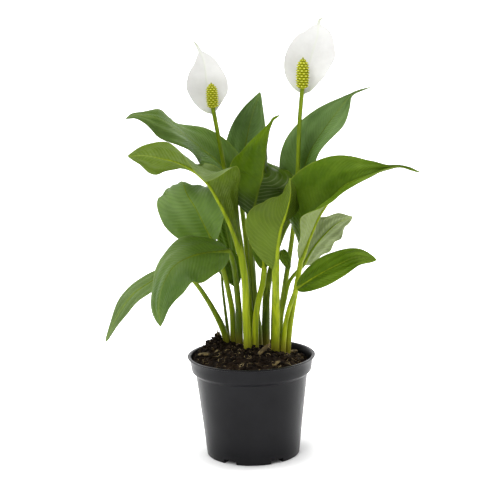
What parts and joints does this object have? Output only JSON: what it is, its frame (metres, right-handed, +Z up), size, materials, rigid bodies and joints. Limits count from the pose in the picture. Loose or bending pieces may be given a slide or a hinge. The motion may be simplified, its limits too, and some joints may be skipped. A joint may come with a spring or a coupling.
{
  "type": "potted peace lily",
  "caption": "Young peace lily in a round black plastic nursery pot: a clump of arching, pointed glossy leaves with white spathes and knobbly yellow-green spadices standing above them.",
  "frame": {"origin": "centre of the pot's flat underside, on the surface that the pot stands on", "axes": "+Z up out of the pot, -Y towards the front, +X to the right seen from the front"},
  "size_m": [0.289, 0.12, 0.405],
  "materials": {
    "pot": "satin",
    "soil": "rough",
    "bark": "rough",
    "leaf": "satin",
    "stalk": "satin",
    "spathe": "matte",
    "spadix": "matte"
  },
  "bodies": {
    "root": {"pot": "pot", "soil": "soil", "bark_chip_1": "bark", "bark_chip_2": "bark", "bark_chip_3": "bark", "bark_chip_4": "bark", "leaf_01_stalk": "stalk", "leaf_01_blade": "leaf", "leaf_02_stalk": "stalk", "leaf_02_blade": "leaf", "leaf_03_stalk": "stalk", "leaf_03_blade": "leaf", "leaf_04_stalk": "stalk", "leaf_04_blade": "leaf", "leaf_05_stalk": "stalk", "leaf_05_blade": "leaf", "leaf_06_stalk": "stalk", "leaf_06_blade": "leaf", "leaf_07_stalk": "stalk", "leaf_07_blade": "leaf", "leaf_08_stalk": "stalk", "leaf_08_blade": "leaf", "leaf_09_stalk": "stalk", "leaf_09_blade": "leaf", "leaf_10_stalk": "stalk", "leaf_10_blade": "leaf", "leaf_11_stalk": "stalk", "leaf_11_blade": "leaf", "leaf_12_stalk": "stalk", "leaf_12_blade": "leaf", "leaf_13_stalk": "stalk", "leaf_13_blade": "leaf", "leaf_14_stalk": "stalk", "leaf_14_blade": "leaf", "leaf_15_stalk": "stalk", "leaf_15_blade": "leaf", "leaf_16_stalk": "stalk", "leaf_16_blade": "leaf", "flower_left_stalk": "stalk", "flower_left_spathe": "spathe", "flower_left_spadix": "spadix", "flower_right_stalk": "stalk", "flower_right_spathe": "spathe", "flower_right_spadix": "spadix"}
  },
  "joints": []
}
